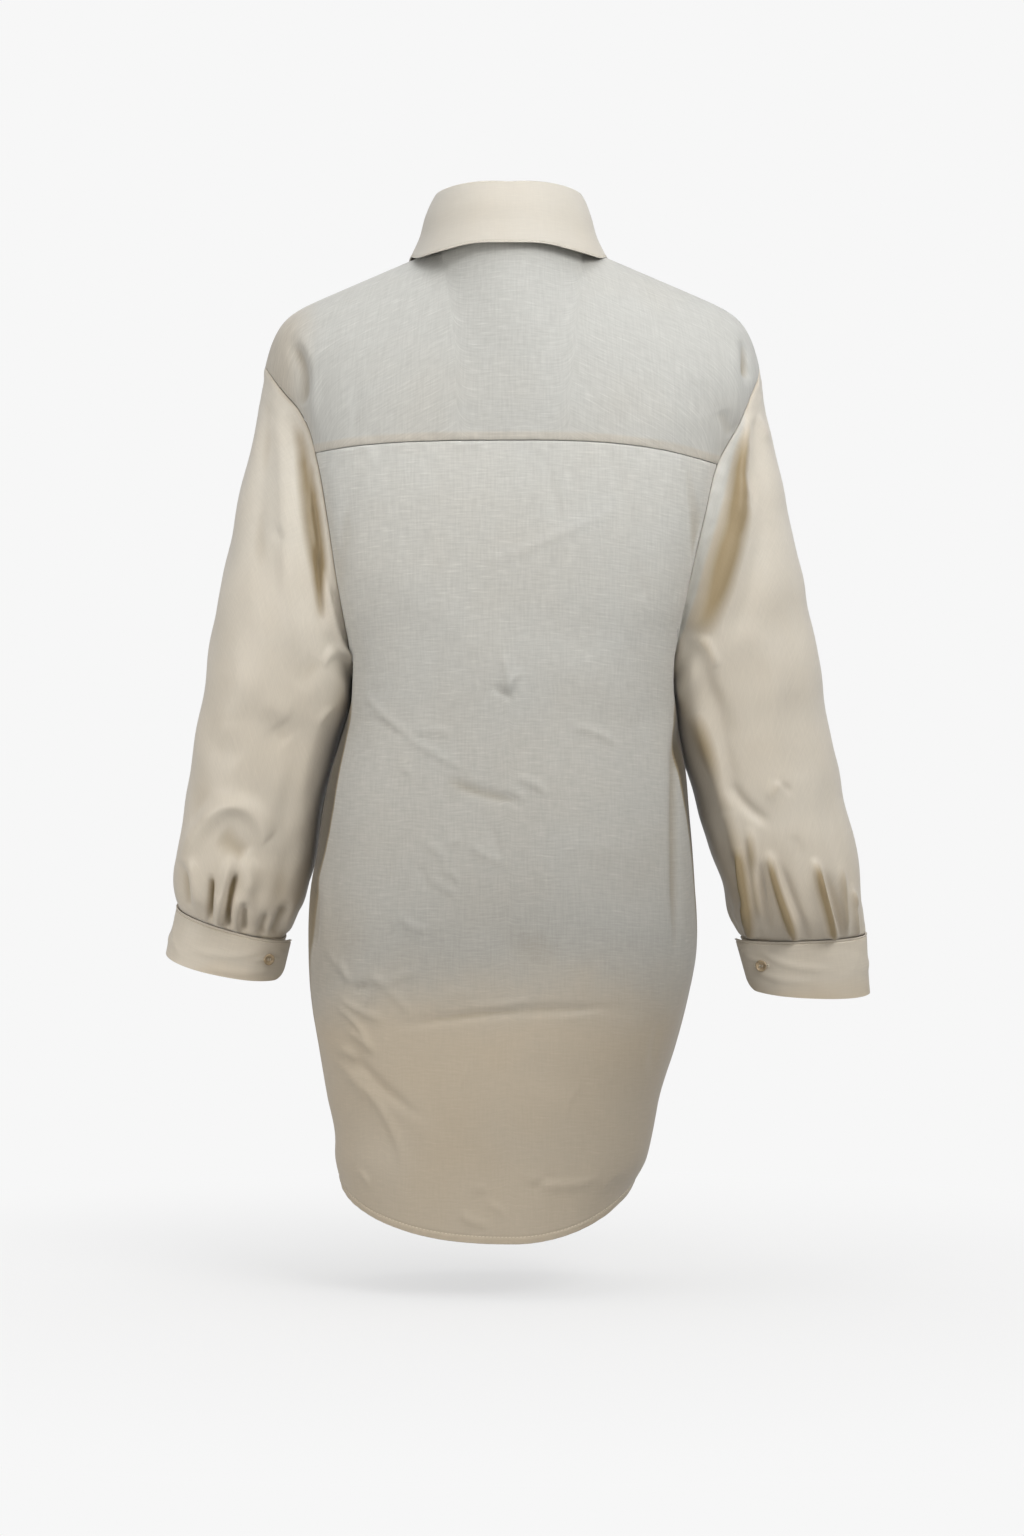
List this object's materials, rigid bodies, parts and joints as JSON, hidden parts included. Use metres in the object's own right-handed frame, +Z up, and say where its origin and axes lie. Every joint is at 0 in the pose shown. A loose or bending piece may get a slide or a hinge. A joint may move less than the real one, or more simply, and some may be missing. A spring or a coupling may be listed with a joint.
{
  "type": "blouse",
  "caption": "Long hollow blouse in its worn form: folded collar on a stand, deep back yoke, full sleeves gathered into deep cuffs, buttoned front, curved hem.",
  "frame": {"origin": "centre of the neck opening, at the height of the shoulder line beside the neck", "axes": "+Z up towards the wearer's head, +Y behind the wearer, +X to the wearer's left"},
  "size_m": [0.6438, 0.2484, 0.936],
  "materials": {
    "ivory_cloth": "light silk and cotton sateen with fine slubs, soft sheen",
    "button": "polished beige button with a raised rim"
  },
  "bodies": {
    "root": {"yoke": "ivory_cloth", "back": "ivory_cloth", "front_left": "ivory_cloth", "front_right": "ivory_cloth", "placket": "ivory_cloth", "sleeve_left": "ivory_cloth", "sleeve_right": "ivory_cloth", "cuff_left": "ivory_cloth", "cuff_right": "ivory_cloth", "collar_stand": "ivory_cloth", "collar_fall": "ivory_cloth", "button_front_1": "button", "button_front_2": "button", "button_front_3": "button", "button_front_4": "button", "button_front_5": "button", "button_front_6": "button", "button_front_7": "button", "button_stand": "button", "button_cuff_left": "button", "button_cuff_right": "button"}
  },
  "joints": []
}
